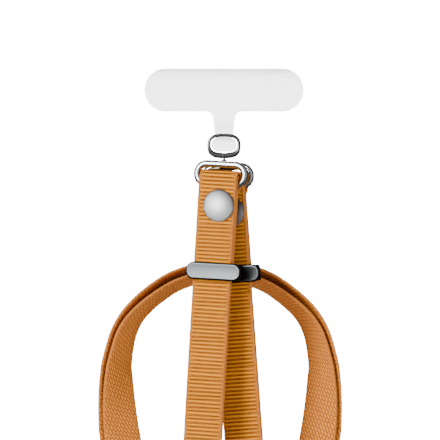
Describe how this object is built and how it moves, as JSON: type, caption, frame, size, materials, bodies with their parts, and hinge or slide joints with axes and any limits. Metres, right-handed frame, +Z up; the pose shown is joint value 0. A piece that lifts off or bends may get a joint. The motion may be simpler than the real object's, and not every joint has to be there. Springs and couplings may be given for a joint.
{
  "type": "phone crossbody strap",
  "caption": "Crossbody phone strap: a slip-in case tab, a swivelling double ring, and a doubled ribbed webbing loop with snaps and sliders, hanging.",
  "frame": {"origin": "middle of the tab, on the swivel's upright axis", "axes": "+X to the right along the tab, +Y away from the viewer, +Z up; the strap hangs down -Z"},
  "size_m": [0.0946, 0.0384, 0.2174],
  "materials": {
    "tab_film": "white translucent film reinforced with a fine woven grid",
    "dark_steel": "dark gunmetal plating, polished",
    "bright_steel": "dark nickel plating, polished",
    "satin_steel": "satin nickel",
    "ochre_webbing": "ochre orange webbing, cross ribs outside and twill inside"
  },
  "bodies": {
    "tab_side": {"phone_tab": "tab_film", "swivel_eye": "dark_steel"},
    "strap_side": {"strap_ring": "bright_steel", "webbing_outer": "ochre_webbing", "webbing_inner": "ochre_webbing", "front_snap_cap": "satin_steel", "front_snap_socket": "satin_steel", "back_snap_cap": "satin_steel", "back_snap_socket": "satin_steel", "front_slider": "satin_steel", "back_slider": "satin_steel"}
  },
  "joints": [
    {"name": "swivel_turn", "type": "hinge", "parent": "tab_side", "child": "strap_side", "pos_m": [0, 0, -0.025], "axis": [0, 0, 1], "continuous": true}
  ]
}
